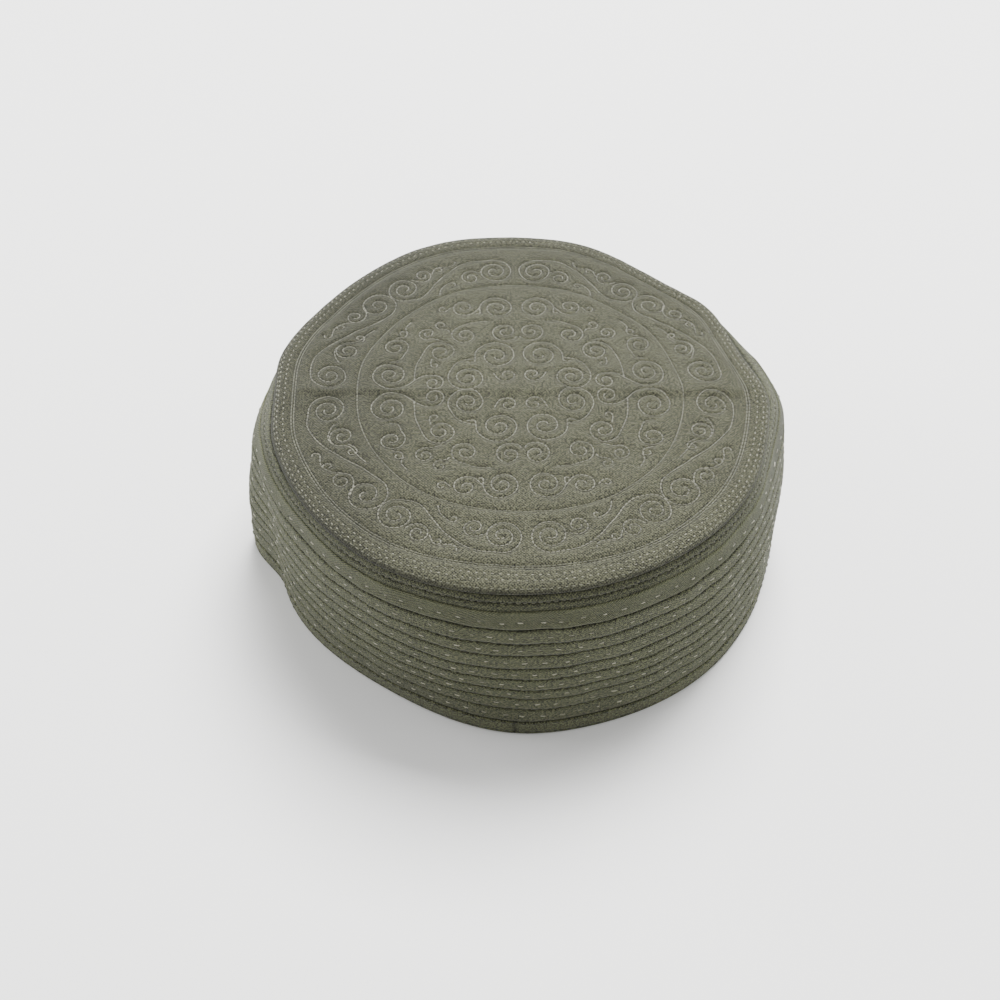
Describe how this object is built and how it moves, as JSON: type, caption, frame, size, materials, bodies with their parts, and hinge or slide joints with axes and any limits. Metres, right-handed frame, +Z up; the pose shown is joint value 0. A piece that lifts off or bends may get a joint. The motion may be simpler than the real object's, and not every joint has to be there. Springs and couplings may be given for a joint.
{
  "type": "prayer cap",
  "caption": "Round quilted prayer cap with a flat embroidered crown, a corded welt, a plain bias strip, a channel-quilted wall and a bound hem, open below for the head.",
  "frame": {"origin": "centre of the bounding box at the hem's underside, where the cap rests", "axes": "+Z up through the crown, -Y to the hem seam at the front of the picture, +X to the right of the picture, along the crown's ridge"},
  "size_m": [0.2048, 0.19, 0.08],
  "materials": {
    "crown_cloth": "matt plain-weave cotton, olive grey",
    "welt_cloth": "matt plain-weave cotton over cord, dark olive grey",
    "strip_cloth": "matt cotton cut on the bias, olive grey",
    "band_cloth": "matt quilted cotton, olive grey",
    "hem_cloth": "matt folded cotton binding, dark olive grey"
  },
  "bodies": {
    "root": {"crown_panel": "crown_cloth", "rim_welt": "welt_cloth", "upper_strip": "strip_cloth", "quilted_band": "band_cloth", "hem_binding": "hem_cloth"}
  },
  "joints": []
}
